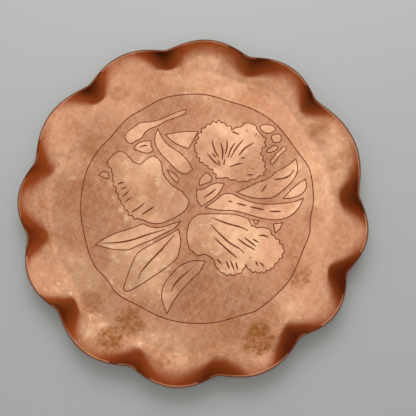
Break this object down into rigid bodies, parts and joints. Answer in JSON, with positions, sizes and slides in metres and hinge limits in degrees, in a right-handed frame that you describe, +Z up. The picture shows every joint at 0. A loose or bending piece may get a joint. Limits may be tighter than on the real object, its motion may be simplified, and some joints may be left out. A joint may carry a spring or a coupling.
{
  "type": "decorative metal tray",
  "caption": "Round shallow copper tray with a scalloped, flared rim and an etched orchid picture on its flat floor, for holding small things or for display.",
  "frame": {"origin": "centre of the tray's underside, on the plane it rests on", "axes": "+Z up, out of the dish; +Y towards the top of the etched picture; +X towards its right; the tray rests flat on Z = 0"},
  "size_m": [0.2945, 0.2958, 0.017],
  "materials": {
    "copper": "hand-polished copper sheet with a warm lacquer and light tarnish",
    "patina": "matte dark brown oxide packed in etched lines"
  },
  "bodies": {
    "root": {"tray_sheet": "copper", "border_patina": "patina", "left_bloom_patina": "patina", "upper_bloom_patina": "patina", "lower_bloom_patina": "patina", "bud_patina": "patina", "bud_leaf_patina": "patina", "strap_leaf_patina": "patina", "sepal_patina": "patina", "side_petal_patina": "patina", "upper_left_leaf_patina": "patina", "lower_left_leaf_patina": "patina", "bottom_leaf_patina": "patina", "throat_petal_patina": "patina", "upper_right_leaf_patina": "patina", "small_right_leaf_patina": "patina", "long_petal_patina": "patina", "fleck_patina": "patina"}
  },
  "joints": []
}
